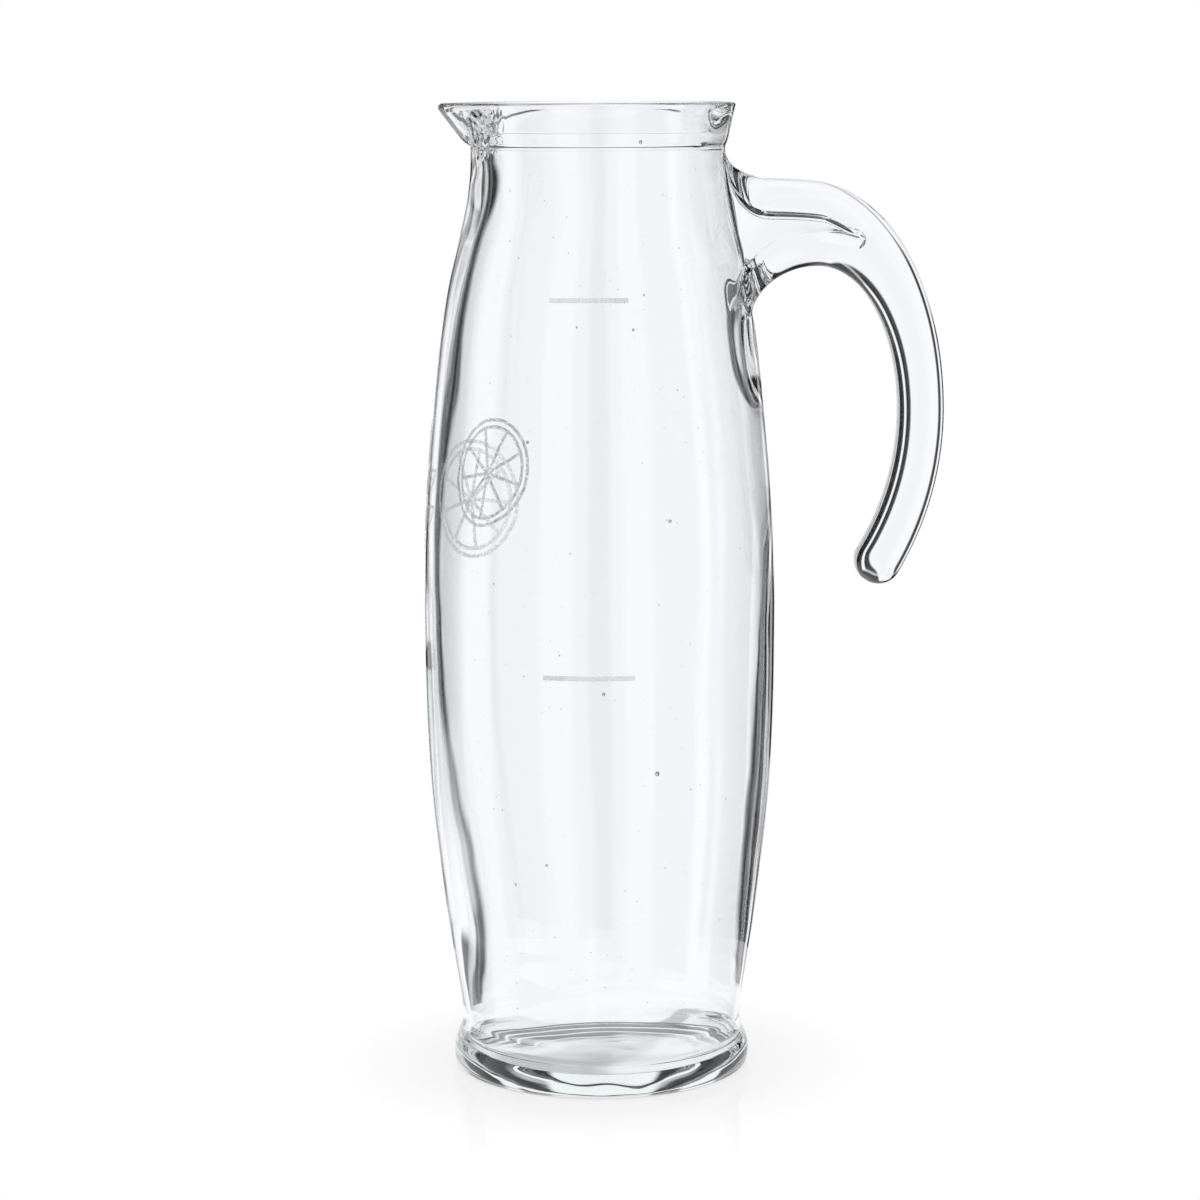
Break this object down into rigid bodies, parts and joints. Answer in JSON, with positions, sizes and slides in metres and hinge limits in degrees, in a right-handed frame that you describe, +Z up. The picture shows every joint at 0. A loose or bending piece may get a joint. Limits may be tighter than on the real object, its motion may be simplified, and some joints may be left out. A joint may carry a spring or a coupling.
{
  "type": "cocktail pitcher",
  "caption": "Tall barrel-shaped clear glass pitcher with a banded rim, a pulled pour lip, a hook handle welded on hot and open at its lower end, and printed fill lines.",
  "frame": {"origin": "centre of the standing ring, on the surface that the pitcher stands on", "axes": "+Z up, +X towards the handle, -X towards the pour lip, the fill lines face -Y"},
  "size_m": [0.136, 0.0923, 0.254],
  "materials": {
    "body_glass": "clear soda-lime glass, fire-polished, with fine seed bubbles",
    "handle_glass": "clear solid soda-lime glass, fire-polished",
    "line_ink": "pale grey fired-on ink, matt",
    "print_ink": "pale grey speckled fired-on ink, matt"
  },
  "bodies": {
    "root": {"glass_body": "body_glass", "handle": "handle_glass", "upper_fill_line": "line_ink", "lower_fill_line": "line_ink", "fruit_print": "print_ink"}
  },
  "joints": []
}
